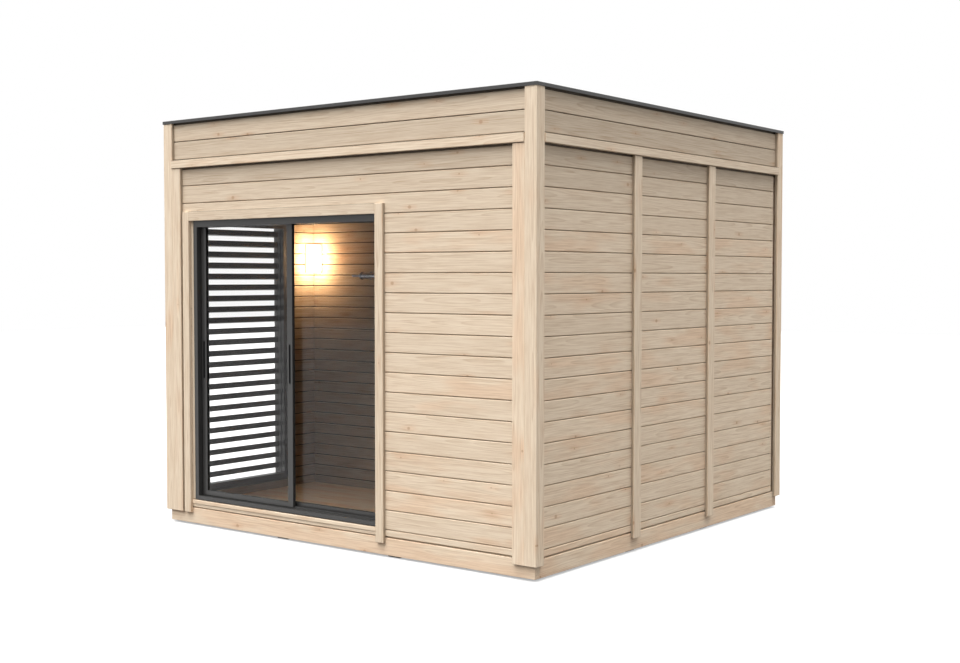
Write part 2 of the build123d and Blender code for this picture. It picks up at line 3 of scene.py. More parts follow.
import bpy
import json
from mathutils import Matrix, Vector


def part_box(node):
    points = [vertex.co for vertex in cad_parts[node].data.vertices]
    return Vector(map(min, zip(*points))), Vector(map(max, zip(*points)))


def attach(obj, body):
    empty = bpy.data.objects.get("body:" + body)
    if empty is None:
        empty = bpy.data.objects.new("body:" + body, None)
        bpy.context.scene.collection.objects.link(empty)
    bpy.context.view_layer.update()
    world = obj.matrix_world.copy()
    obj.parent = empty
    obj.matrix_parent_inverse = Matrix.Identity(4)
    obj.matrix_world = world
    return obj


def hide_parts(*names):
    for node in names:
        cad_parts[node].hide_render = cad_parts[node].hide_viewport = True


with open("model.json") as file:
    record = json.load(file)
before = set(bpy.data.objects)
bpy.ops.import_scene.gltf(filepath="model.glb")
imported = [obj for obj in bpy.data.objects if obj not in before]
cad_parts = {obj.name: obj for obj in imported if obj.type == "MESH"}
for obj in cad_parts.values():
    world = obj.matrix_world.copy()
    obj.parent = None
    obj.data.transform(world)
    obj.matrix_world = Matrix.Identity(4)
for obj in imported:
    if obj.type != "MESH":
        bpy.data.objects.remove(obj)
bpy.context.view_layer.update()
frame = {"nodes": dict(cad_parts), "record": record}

import json
import logging
import math
import random
from dataclasses import dataclass, field
from enum import Enum
from itertools import product
from typing import ClassVar, Iterable, Sequence, Union

import bmesh
import bpy
from mathutils import Vector

LOG = logging.getLogger("cabin")
CABIN = "cabin"
SHARP = 0.0002  # arris of what shows only in a groove, in metres as every length here
SAME_PLACE = 0.001  # places nearer to each other than this are one place
REMAINDER = 1e-4  # what is left of a run of boards that has come to its end
WHITE = (1.0, 1.0, 1.0, 1.0)

Triple = tuple[float, float, float]
Colour = Triple
Value = Union[float, "Socket"]
Owner = Union[bpy.types.Material, bpy.types.World, bpy.types.Light]


def from_screen(red: int, green: int, blue: int) -> Colour:
    """Linear colour of a screen colour.

    Args:
        red: Red, 0 to 255.
        green: Green, 0 to 255.
        blue: Blue, 0 to 255.

    Returns:
        The colour that shaders work in.
    """
    def linear(part: int) -> float:
        """One channel, by the screen's transfer curve."""
        share = part / 255
        return share / 12.92 if share <= 0.04045 else ((share + 0.055) / 1.055) ** 2.4
    return linear(red), linear(green), linear(blue)


class Axis(Enum):
    """A direction of the cabin: left to right, front to back, or up."""

    ACROSS = 0
    BACK = 1
    UP = 2


class Facing(Enum):
    """A side of a wall that carries boards, as its axis and sign."""

    FRONT = (Axis.BACK, -1)
    REAR = (Axis.BACK, 1)
    LEFT = (Axis.ACROSS, -1)
    RIGHT = (Axis.ACROSS, 1)

    @property
    def axis(self) -> int:
        """The number of the axis along which it looks."""
        return self.value[0].value

    @property
    def sign(self) -> int:
        """Which way it looks along that axis."""
        return self.value[1]


class Socket:
    """An output of a shader node, with arithmetic that adds Math nodes."""

    def __init__(self, tree: "ShaderTree", output: bpy.types.NodeSocket) -> None:
        """Keeps the tree and the output that the value comes from."""
        self.tree = tree
        self.output = output

    def __add__(self, other: Value) -> "Socket":
        """Sum."""
        return self.tree.maths("ADD", self, other)

    def __radd__(self, other: Value) -> "Socket":
        """Sum, number first."""
        return self.tree.maths("ADD", other, self)

    def __sub__(self, other: Value) -> "Socket":
        """Difference."""
        return self.tree.maths("SUBTRACT", self, other)

    def __rsub__(self, other: Value) -> "Socket":
        """Difference, number first."""
        return self.tree.maths("SUBTRACT", other, self)

    def __mul__(self, other: Value) -> "Socket":
        """Product."""
        return self.tree.maths("MULTIPLY", self, other)

    def __rmul__(self, other: Value) -> "Socket":
        """Product, number first."""
        return self.tree.maths("MULTIPLY", other, self)

    def __truediv__(self, other: Value) -> "Socket":
        """Quotient."""
        return self.tree.maths("DIVIDE", self, other)

    def __rtruediv__(self, other: Value) -> "Socket":
        """Quotient, number first."""
        return self.tree.maths("DIVIDE", other, self)

    def __pow__(self, other: Value) -> "Socket":
        """Power."""
        return self.tree.maths("POWER", self, other)


class ShaderTree:
    """The node tree of a material, a world or a lamp, in which every node comes from one method."""

    def __init__(self, owner: Owner) -> None:
        """Empties the owner's tree.

        Args:
            owner: What the tree belongs to.
        """
        owner.use_nodes = True
        self.nodes = owner.node_tree.nodes
        self.links = owner.node_tree.links
        self.nodes.clear()

    def add(self, kind: str, settings: dict | None = None, sockets: dict | None = None,
            output: int | str | None = 0) -> Socket | None:
        """Adds one node of any kind.

        Args:
            kind: Blender's type name of the node.
            settings: Its properties, set before its sockets.
            sockets: Values or links of its inputs, by name or number.
            output: Which output the returned value reads, or none.

        Returns:
            That output, or none.
        """
        node = self.nodes.new(kind)
        for key, value in (settings or {}).items():
            setattr(node, key, value)
        for key, value in (sockets or {}).items():
            if isinstance(value, Socket):
                self.links.new(value.output, node.inputs[key])
            else:
                node.inputs[key].default_value = value
        return None if output is None else Socket(self, node.outputs[output])

    def maths(self, operation: str, *values: Value) -> Socket:
        """A Math node on up to three values."""
        return self.add("ShaderNodeMath", {"operation": operation}, dict(enumerate(values)))

    def vector_maths(self, operation: str, *values: object, output: int | str = 0) -> Socket:
        """A Vector Math node on up to three vectors."""
        return self.add("ShaderNodeVectorMath", {"operation": operation}, dict(enumerate(values)), output)

    def mix(self, share: Value, first: object, second: object, blend: str = "MIX") -> Socket:
        """Mixes two colours.

        Args:
            share: How much of the second, 0 to 1.
            first: A colour or a socket.
            second: A colour or a socket.
            blend: Blender's name of the blend.

        Returns:
            The mixed colour.
        """
        settings = {"data_type": "RGBA", "blend_type": blend, "clamp_factor": True}
        return self.add("ShaderNodeMix", settings, {0: share, 6: solid(first), 7: solid(second)}, 2)

    def smooth(self, value: Socket, low: float, high: float) -> Socket:
        """0 below low, 1 above high, smooth between."""
        settings = {"interpolation_type": "SMOOTHSTEP"}
        return self.add("ShaderNodeMapRange", settings, {0: value, 1: low, 2: high})

    def scaled(self, colour: Socket, level: Value) -> Socket:
        """A colour made lighter or darker by a number."""
        return self.add("ShaderNodeVectorMath", {"operation": "SCALE"}, {0: colour, "Scale": level})

    def noise(self, place: Socket, scale: float, detail: float = 2.0, roughness: float = 0.5) -> Socket:
        """Fractal noise around 0.5 at a place."""
        sockets = {"Vector": place, "Scale": scale, "Detail": detail, "Roughness": roughness}
        return self.add("ShaderNodeTexNoise", {"noise_dimensions": "3D"}, sockets)

    def stretched(self, place: Socket, scale: Triple) -> Socket:
        """A place with each axis multiplied."""
        return self.vector_maths("MULTIPLY", place, scale)

    def bump(self, height: Socket, distance: float, strength: float) -> Socket:
        """A normal tilted by a height."""
        return self.add("ShaderNodeBump", None, {"Height": height, "Distance": distance, "Strength": strength})

    def principled(self, **sockets: object) -> Socket:
        """A Principled shader, with underscores for the spaces in its sockets' names."""
        named = {key.replace("_", " "): value for key, value in sockets.items()}
        return self.add("ShaderNodeBsdfPrincipled", None, named)

    def place(self) -> Socket:
        """Where a point lies in its object."""
        return self.add("ShaderNodeTexCoord", None, None, "Object")

    def ray(self, kind: str) -> Socket:
        """What the light path says of the ray, by the name of the output."""
        return self.add("ShaderNodeLightPath", None, None, kind)

    def looked_at(self) -> Socket:
        """1 for rays that show a surface as the background: straight, mirrored or through glass."""
        seen = 0.0
        for kind in ("Is Camera Ray", "Is Glossy Ray", "Is Transmission Ray"):
            seen = self.maths("MAXIMUM", seen, self.ray(kind))
        return seen

    def see_through(self, colour: Colour) -> Socket:
        """A Transparent shader of one colour."""
        return self.add("ShaderNodeBsdfTransparent", None, {"Color": solid(colour)})

    def blended(self, share: Value, first: Socket, second: Socket) -> Socket:
        """Two shaders, with a share of the second."""
        return self.add("ShaderNodeMixShader", None, {0: share, 1: first, 2: second})

    def finish(self, kind: str, surface: Socket) -> None:
        """Adds the output node of a kind and links the surface to it."""
        self.add(kind, None, {"Surface": surface}, None)


def material_tree(name: str) -> tuple[bpy.types.Material, ShaderTree]:
    """A new material and its empty tree."""
    material = bpy.data.materials.new(name)
    return material, ShaderTree(material)


def solid(colour: object) -> object:
    """A plain colour with its alpha, and a socket as it is."""
    return colour if isinstance(colour, Socket) else (*colour, 1.0)


@dataclass(frozen=True)
class TimberFinish:
    """Planed softwood whose grain follows each plank."""

    FIBRES: ClassVar[Triple] = (7.0, 320.0, 320.0)
    STREAKS: ClassVar[Triple] = (4.0, 110.0, 110.0)
    PATCHES: ClassVar[Triple] = (2.2, 9.0, 9.0)
    WANDER: ClassVar[Triple] = (0.9, 2.2, 2.2)
    RIPPLE: ClassVar[Triple] = (6.0, 26.0, 26.0)
    KNOTS: ClassVar[Triple] = (2.6, 5.2, 0.0)
    KNOT_TINT: ClassVar[Triple] = (0.66, 0.48, 0.38)
    name: str
    pale: Colour
    dark: Colour
    blush: Colour
    ring_spacing: float = 0.0056
    ring_strength: float = 0.36
    streak_strength: float = 1.35
    fibre_strength: float = 0.6
    blush_strength: float = 0.6
    halo_blush: float = 0.55
    halo_streaks: float = 0.45
    knot_share: float = 0.50
    knot_strength: float = 0.50
    rim_strength: float = 0.30
    tone_spread: float = 0.07
    roughness: float = 0.62
    relief: float = 0.0006

    def material(self) -> bpy.types.Material:
        """Builds the material.

        Returns:
            Softwood with rings, fibres, knots and a tone of its own for each plank.
        """
        material, tree = material_tree(self.name)
        place = tree.add("ShaderNodeAttribute", {"attribute_name": "grain"}, None, "Vector")
        tone = tree.add("ShaderNodeAttribute", {"attribute_name": "tone"}, None, "Fac")
        knot, rim, halo = self._knots(tree, place)
        rings = self._rings(tree, place, knot)
        fibres = tree.noise(tree.stretched(place, self.FIBRES), 1.0, 2.0, 0.6)
        streaks = tree.noise(tree.stretched(place, self.STREAKS), 1.0, 3.0, 0.65)
        patches = tree.noise(tree.stretched(place, self.PATCHES), 1.0, 2.0)
        late = (rings * self.ring_strength + (streaks - 0.5) * self.streak_strength
                + (fibres - 0.5) * self.fibre_strength)
        wood = tree.mix(tree.smooth(late, -0.35, 0.85), self.pale, self.dark)
        blush = tree.smooth(patches + (tone - 0.5) * 0.2, 0.48, 0.70)
        wood = tree.mix(blush * self.blush_strength, wood, self.blush, "MULTIPLY")
        wood = tree.scaled(wood, (tone - 0.5) * self.tone_spread + 1.0)
        wood = tree.mix(halo * self.halo_blush, wood, self.blush, "MULTIPLY")
        wood = tree.mix(halo * tree.smooth(streaks, 0.45, 0.62) * self.halo_streaks, wood, self.dark)
        knot_colour = tuple(part * tint for part, tint in zip(self.dark, self.KNOT_TINT))
        wood = tree.mix(knot * self.knot_strength, wood, knot_colour)
        wood = tree.mix(rim * self.rim_strength, wood, knot_colour)
        normal = tree.bump(rings * 0.5 + fibres * 0.5 + knot * 0.4, self.relief, 0.35)
        shader = tree.principled(Base_Color=wood, Roughness=fibres * 0.12 + self.roughness, Normal=normal,
                                 Specular_IOR_Level=0.28)
        tree.finish("ShaderNodeOutputMaterial", shader)
        return material

    def _rings(self, tree: ShaderTree, place: Socket, knot: Socket) -> Socket:
        """Late wood of the year rings, 0 to 1.

        Args:
            tree: The material's tree.
            place: Along, across and through the log, in metres.
            knot: Where knots are, which the rings flow round.

        Returns:
            The share of late wood.
        """
        wander = tree.noise(tree.stretched(place, self.WANDER), 1.0, 1.0) - 0.5
        radius = tree.vector_maths("LENGTH", tree.stretched(place, (0.0, 1.0, 1.0)), output="Value")
        ripple = tree.noise(tree.stretched(place, self.RIPPLE), 1.0, 1.0) - 0.5
        turned = radius + wander * 0.045 + ripple * 0.003 + knot * 0.007
        phase = tree.maths("FRACT", turned / self.ring_spacing)
        rise = phase ** 2.2
        return rise * (1.0 - tree.smooth(phase, 0.90, 1.0))

    def _knots(self, tree: ShaderTree, place: Socket) -> tuple[Socket, Socket, Socket]:
        """Small sound knots scattered over the face.

        Args:
            tree: The material's tree.
            place: Along, across and through the log, in metres.

        Returns:
            The knot's body, its dark rim and the flushed wood round it, each 0 to 1.
        """
        flat = tree.stretched(place, self.KNOTS)
        settings = {"voronoi_dimensions": "2D", "feature": "F1"}
        sockets = {"Vector": flat, "Scale": 1.0, "Randomness": 0.85}
        near = tree.add("ShaderNodeTexVoronoi", settings, sockets, "Distance")
        cell = Socket(tree, near.output.node.outputs["Color"])
        centre = Socket(tree, near.output.node.outputs["Position"])
        parts = tree.add("ShaderNodeSeparateColor", None, {0: cell})
        size = Socket(tree, parts.output.node.outputs[1])
        real_size = (1 / self.KNOTS[0], 1 / self.KNOTS[1], 0.0)
        offset = tree.stretched(tree.vector_maths("SUBTRACT", flat, centre), real_size)
        distance = tree.vector_maths("LENGTH", tree.stretched(offset, (0.8, 1.0, 0.0)), output="Value")
        reach = tree.vector_maths("LENGTH", tree.stretched(offset, (0.28, 1.0, 0.0)), output="Value")
        there = tree.smooth(parts, 1.0 - self.knot_share, 1.0 - self.knot_share + 0.05)
        share = distance / (size * 0.006 + 0.003)
        body = (1.0 - tree.smooth(share, 0.55, 1.15)) * there
        rim = tree.smooth(share, 0.6, 0.95) * (1.0 - tree.smooth(share, 1.0, 1.6)) * there
        halo = (1.0 - tree.smooth(reach, 0.002, 0.026)) * there
        return body, rim, halo


@dataclass(frozen=True)
class MetalFinish:
    """Powder-coated or bare metal with a fine grain."""

    name: str
    colour: Colour
    metallic: float = 0.0
    roughness: float = 0.42
    grain_scale: float = 700.0
    grain_height: float = 0.00012
    darker: float = 0.82
    paler: float = 1.22

    def material(self) -> bpy.types.Material:
        """Builds the material.

        Returns:
            Coated metal with faint mottling and a pebbled surface.
        """
        material, tree = material_tree(self.name)
        place = tree.place()
        grain = tree.noise(place, self.grain_scale, 2.0)
        cloud = tree.noise(place, 4.0, 3.0)
        ends = [tuple(part * level for part in self.colour) for level in (self.darker, self.paler)]
        colour = tree.mix(cloud * 0.7 + grain * 0.3, *ends)
        roughness = cloud * 0.14 + (self.roughness - 0.07)
        normal = tree.bump(grain, self.grain_height, 0.4)
        shader = tree.principled(Base_Color=colour, Metallic=self.metallic, Roughness=roughness, Normal=normal)
        tree.finish("ShaderNodeOutputMaterial", shader)
        return material


@dataclass(frozen=True)
class FeltFinish:
    """Roofing sheet or rubber with a mineral grain."""

    name: str
    colour: Colour
    speckle: Colour
    scale: float = 900.0
    roughness: float = 0.85
    stained: float = 0.6

    def material(self) -> bpy.types.Material:
        """Builds the material."""
        material, tree = material_tree(self.name)
        place = tree.place()
        grain = tree.noise(place, self.scale, 2.0)
        stain = tree.noise(place, 2.2, 4.0)
        colour = tree.mix(tree.smooth(grain, 0.52, 0.68) * 0.6, self.colour, self.speckle)
        colour = tree.mix(stain * 0.35, colour, tuple(part * self.stained for part in self.colour))
        roughness = stain * 0.1 + (self.roughness - 0.05)
        normal = tree.bump(grain + stain * 2.0, 0.0008, 0.5)
        shader = tree.principled(Base_Color=colour, Roughness=roughness, Normal=normal)
        tree.finish("ShaderNodeOutputMaterial", shader)
        return material


@dataclass(frozen=True)
class GlassFinish:
    """A clear pane with a slight tint and a weak mirror."""

    name: str
    tint: Colour
    shade: Colour
    mirror: float = 0.52
    dust: float = 0.006
    bending: float = 1.45
    polish: float = 0.02

    def material(self) -> bpy.types.Material:
        """Builds the material.

        Returns:
            A see-through surface whose mirror grows towards a grazing view, and that holds back much of the
            lamps' direct light, as panes that bend light do.
        """
        material, tree = material_tree(self.name)
        held = tree.maths("MAXIMUM", tree.ray("Is Shadow Ray"), tree.ray("Is Diffuse Ray"))
        clear = tree.blended(held, tree.see_through(self.tint), tree.see_through(self.shade))
        film = tree.noise(tree.place(), 3.0, 3.0)
        face = tree.principled(Base_Color=WHITE, Metallic=1.0, Roughness=self.polish)
        fresnel = tree.add("ShaderNodeFresnel", None, {"IOR": self.bending})
        outside = 1.0 - tree.add("ShaderNodeNewGeometry", None, None, "Backfacing")
        share = (fresnel * self.mirror + film * self.dust) * outside
        tree.finish("ShaderNodeOutputMaterial", tree.blended(share, clear, face))
        return material


@dataclass(frozen=True)
class GlowFinish:
    """A lit frosted shade, which the light of the lamp inside goes through."""

    name: str
    colour: Colour
    strength: float
    frosting: Colour = (0.85, 0.80, 0.70)
    duller: float = 0.86

    def material(self) -> bpy.types.Material:
        """Builds the material."""
        material, tree = material_tree(self.name)
        cloud = tree.noise(tree.place(), 30.0, 2.0)
        glow = tree.mix(cloud, tuple(part * self.duller for part in self.colour), self.colour)
        shade = tree.principled(Base_Color=solid(self.frosting), Roughness=0.4, Emission_Color=glow,
                                Emission_Strength=self.strength)
        through = tree.see_through(WHITE[:3])
        tree.finish("ShaderNodeOutputMaterial", tree.blended(tree.ray("Is Shadow Ray"), shade, through))
        return material


Finish = Union[TimberFinish, MetalFinish, FeltFinish, GlassFinish, GlowFinish]


class Palette:
    """The finishes of the cabin, each built once and asked for by its slot."""

    FINISHES: ClassVar[tuple[Finish, ...]] = (
        TimberFinish("cladding_timber", from_screen(234, 216, 192), from_screen(196, 168, 139),
                     from_screen(251, 236, 226)),
        TimberFinish("trim_timber", from_screen(238, 220, 196), from_screen(200, 171, 141),
                     from_screen(251, 236, 226), knot_share=0.30),
        # Lining painted darker than the cladding, as the shade indoors.
        TimberFinish("lining_timber", from_screen(186, 169, 148), from_screen(152, 129, 106),
                     from_screen(250, 234, 222)),
        # Floor painted paler, as the light that falls in at the door.
        TimberFinish("floor_timber", from_screen(244, 220, 188), from_screen(206, 172, 136),
                     from_screen(246, 226, 206), ring_strength=0.34),
        TimberFinish("lamp_timber", from_screen(224, 190, 148), from_screen(176, 134, 92),
                     from_screen(246, 226, 206)),
        MetalFinish("coping_metal", from_screen(57, 56, 55), roughness=0.42),
        MetalFinish("door_metal", from_screen(51, 50, 49), roughness=0.34),
        MetalFinish("louvre_metal", from_screen(58, 58, 58), roughness=0.5),
        MetalFinish("pull_black", from_screen(22, 22, 23), roughness=0.35),
        MetalFinish("fitting_chrome", from_screen(150, 149, 152), metallic=1.0, roughness=0.22,
                    grain_height=0.00002),
        GlassFinish("door_glass", (0.995, 0.995, 0.993), (0.42, 0.42, 0.42)),
        FeltFinish("roof_felt", from_screen(62, 63, 65), from_screen(120, 120, 118)),
        FeltFinish("pad_rubber", from_screen(40, 40, 41), from_screen(84, 80, 74), roughness=0.8),
        GlowFinish("lamp_glow", (1.0, 0.78, 0.50), 4.0),
    )

    def __init__(self) -> None:
        """Starts with no material built."""
        self._finishes = {finish.name: finish for finish in self.FINISHES}
        self._built: dict[str, bpy.types.Material] = {}

    def material(self, slot: str) -> bpy.types.Material:
        """The material of a slot, built when first asked for."""
        if slot not in self._built:
            self._built[slot] = self._finishes[slot].material()
        return self._built[slot]


@dataclass
class Box:
    """A box between two corners."""

    low: Vector
    high: Vector

    @property
    def size(self) -> Vector:
        """Its three lengths."""
        return self.high - self.low

    @property
    def centre(self) -> Vector:
        """Its middle."""
        return (self.low + self.high) / 2

    def longest(self) -> int:
        """The axis along which it is longest."""
        return max(range(3), key=lambda axis: self.size[axis])

    def thinnest(self) -> int:
        """The axis along which it is thinnest."""
        return min(range(3), key=lambda axis: self.size[axis])

    def cut(self, axis: int, low: float, high: float) -> "Box":
        """The part of it between two places on one axis."""
        first, last = self.low.copy(), self.high.copy()
        first[axis] = max(first[axis], low)
        last[axis] = min(last[axis], high)
        return Box(first, last)

    def layer(self, axis: int, sign: int, depth: float) -> "Box":
        """Its layer of a depth on the side that an axis and a sign name."""
        if sign > 0:
            return self.cut(axis, self.high[axis] - depth, self.high[axis])
        return self.cut(axis, self.low[axis], self.low[axis] + depth)

    def behind(self, axis: int, sign: int, depth: float) -> "Box":
        """What is left of it behind that layer."""
        if sign > 0:
            return self.cut(axis, self.low[axis], self.high[axis] - depth)
        return self.cut(axis, self.low[axis] + depth, self.high[axis])

    def meets(self, other: "Box", axis: int) -> bool:
        """Whether another box starts where it ends on an axis, with the same foot and head."""
        steps = (self.high[axis] - other.low[axis], self.low.z - other.low.z, self.high.z - other.high.z)
        return all(abs(step) < SAME_PLACE for step in steps)

    def side(self, axis: int) -> int:
        """The sign of the cabin's side that it stands on."""
        return 1 if self.centre[axis] > 0 else -1


def node_box(node: str) -> Box:
    """The box of a CAD node at rest."""
    return Box(*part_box(node))


def node_solids(node: str) -> list[Box]:
    """The box of each separate solid of a CAD node.

    Args:
        node: The node's name.

    Returns:
        One box for each group of faces that share corners, from low to high.
    """
    mesh = frame["nodes"][node].data
    keys = [tuple(round(part, 5) for part in vertex.co) for vertex in mesh.vertices]
    parent = {key: key for key in keys}

    def root(key: tuple) -> tuple:
        """The name of the group that a corner is in."""
        while parent[key] != key:
            parent[key] = parent[parent[key]]
            key = parent[key]
        return key

    for polygon in mesh.polygons:
        first = root(keys[polygon.vertices[0]])
        for index in polygon.vertices[1:]:
            parent[root(keys[index])] = first
    groups: dict[tuple, list[tuple]] = {}
    for key in parent:
        groups.setdefault(root(key), []).append(key)
    boxes = []
    for corners in groups.values():
        low = Vector(min(corner[axis] for corner in corners) for axis in range(3))
        high = Vector(max(corner[axis] for corner in corners) for axis in range(3))
        boxes.append(Box(low, high))
    return sorted(boxes, key=lambda box: tuple(box.centre))


def node_levels(node: str, axis: Axis) -> list[float]:
    """The distinct places of a CAD node's corners along one axis, from low to high."""
    return sorted({round(vertex.co[axis.value], 4) for vertex in frame["nodes"][node].data.vertices})


class TimberMesh:
    """Planks gathered into one mesh, each with its own place in a log."""

    LOG_LENGTH: ClassVar[float] = 40.0
    HEART_ACROSS: ClassVar[tuple[float, float]] = (-0.05, 0.05)
    HEART_BELOW: ClassVar[tuple[float, float]] = (0.025, 0.075)

    def __init__(self, name: str) -> None:
        """Starts empty, with random draws that the name fixes."""
        self.name = name
        self.points: list[Vector] = []
        self.faces: list[tuple[int, ...]] = []
        self.grain: list[tuple[float, float, float]] = []
        self.tones: list[float] = []
        self.random = random.Random(name)

    def plank(self, box: Box, arris: float, along: int | None = None, tone: float | None = None,
              shift: float = 0.0) -> None:
        """Adds a plank with softened edges.

        Args:
            box: Its full size.
            arris: How far its edges are cut back.
            along: The axis of its grain, by default its longest.
            tone: Its lightness, 0 to 1 in the open and lower in shade, by default drawn at random.
            shift: What is added to the lightness.
        """
        grain_axis = box.longest() if along is None else along
        others = [axis for axis in range(3) if axis != grain_axis]
        others.sort(key=lambda axis: -box.size[axis])
        start = self.random.uniform(0.0, self.LOG_LENGTH)
        heart = (self.random.uniform(*self.HEART_ACROSS), self.random.uniform(*self.HEART_BELOW))
        drawn = self.random.random()
        shade = (drawn if tone is None else tone) + shift
        first = len(self.points)
        corner_index = {}
        for corner in product((0, 1), repeat=3):
            for axis in range(3):
                point = Vector(box.high[i] if corner[i] else box.low[i] for i in range(3))
                for other in range(3):
                    if other != axis:
                        point[other] += -arris if corner[other] else arris
                corner_index[corner, axis] = len(self.points)
                self.points.append(point)
        for point in self.points[first:]:
            off = point - box.centre
            through = [off[other] + part for other, part in zip(others, heart)]
            self.grain.append((point[grain_axis] + start, *through))
            self.tones.append(shade)
        self._softened_faces(corner_index, box.centre)

    def _softened_faces(self, index: dict, centre: Vector) -> None:
        """Adds the six sides, twelve edges and eight corners of a softened box."""
        for axis in range(3):
            side_b, side_c = (axis + 1) % 3, (axis + 2) % 3
            for side in (0, 1):
                turn = ((0, 0), (1, 0), (1, 1), (0, 1))
                ring = [self._corner(axis, side, side_b, b, side_c, c) for b, c in turn]
                self._face([index[corner, axis] for corner in ring], centre)
            for b, c in product((0, 1), repeat=2):
                near = self._corner(axis, 0, side_b, b, side_c, c)
                far = self._corner(axis, 1, side_b, b, side_c, c)
                edge = ((near, side_b), (far, side_b), (far, side_c), (near, side_c))
                self._face([index[key] for key in edge], centre)
        for corner in product((0, 1), repeat=3):
            self._face([index[corner, axis] for axis in range(3)], centre)

    @staticmethod
    def _corner(a: int, on_a: int, b: int, on_b: int, c: int, on_c: int) -> tuple[int, int, int]:
        """A corner from its side on each of three axes."""
        corner = [0, 0, 0]
        corner[a], corner[b], corner[c] = on_a, on_b, on_c
        return tuple(corner)

    def _face(self, indices: list[int], centre: Vector) -> None:
        """Adds a face that looks away from a centre."""
        a, b, c = (self.points[i] for i in indices[:3])
        outward = (b - a).cross(c - b).dot(a - centre) > 0
        self.faces.append(tuple(indices if outward else reversed(indices)))

    def build(self, slot: str, palette: Palette, body: str, nodes: Sequence[str] = ()) -> None:
        """Makes the object and hands it to its body.

        Args:
            slot: The finish.
            palette: Where the finish comes from.
            body: The body that it rides on.
            nodes: The CAD nodes that it stands for.
        """
        mesh = bpy.data.meshes.new(self.name)
        mesh.from_pydata(self.points, [], self.faces)
        grain = mesh.attributes.new("grain", "FLOAT_VECTOR", "POINT")
        grain.data.foreach_set("vector", [part for row in self.grain for part in row])
        tone = mesh.attributes.new("tone", "FLOAT", "POINT")
        tone.data.foreach_set("value", self.tones)
        mesh.materials.append(palette.material(slot))
        mesh.update()
        piece = bpy.data.objects.new(self.name, mesh)
        bpy.context.scene.collection.objects.link(piece)
        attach(piece, body)
        if nodes:
            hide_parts(*nodes)
        LOG.info("%s: %d faces for %s", self.name, len(mesh.polygons), ", ".join(nodes) or "no node")


@dataclass(frozen=True)
class Boarding:
    """How one face of a wall is boarded."""

    cover: float
    thickness: float
    gap: float
    arris: float
    head_gap: float
    # Tone of the core behind the boards, painted dark as the shade in the grooves.
    groove_shade_tone: float


@dataclass
class Cabin:
    """Places that several sub-assemblies share, read from the frame."""

    palette: Palette = field(default_factory=Palette)
    # The last number of each boarding is the painted shade tone of its grooves.
    outside: Boarding = Boarding(0.115, 0.012, 0.0056, 0.002, 0.009, -3.2)
    lining: Boarding = Boarding(0.0775, 0.010, 0.0065, 0.002, 0.0, -12.0)
    # Tone of the cores behind plinth and floor boards, painted dark as the shade in their gaps.
    core_shade_tone: float = -5.0
    # Tone of the deepest gaps, under the trim band and behind the fascia rows, painted near black as their
    # shadow.
    gap_shade_tone: float = -10.5
    sheet: float = 0.0015
    coping_drop: float = 0.0040
    coping_lift: float = 0.0024

    @property
    def wall_foot(self) -> float:
        """Height of the wall's foot and of the floor."""
        return node_box("right_wall").low.z

    @property
    def wall_top(self) -> float:
        """Height of the wall's top."""
        return node_box("right_wall").high.z

    @property
    def coping_top(self) -> float:
        """Height of the coping's flat top."""
        return node_box("roof_coping").high.z - self.coping_drop

    @property
    def coping_foot(self) -> float:
        """Height of the foot of the coping's outer edge."""
        return node_box("roof_coping").low.z + self.coping_lift

    def under_coping(self, box: Box) -> Box:
        """A box cut off just under the coping's sheet."""
        return box.cut(2, box.low.z, self.coping_top - 2 * self.sheet)


@dataclass(frozen=True)
class WallRun:
    """One wall or the partition, which may be made of several CAD nodes."""

    name: str
    nodes: tuple[str, ...]
    outer: Facing
    inner: Facing
    clad: bool = True


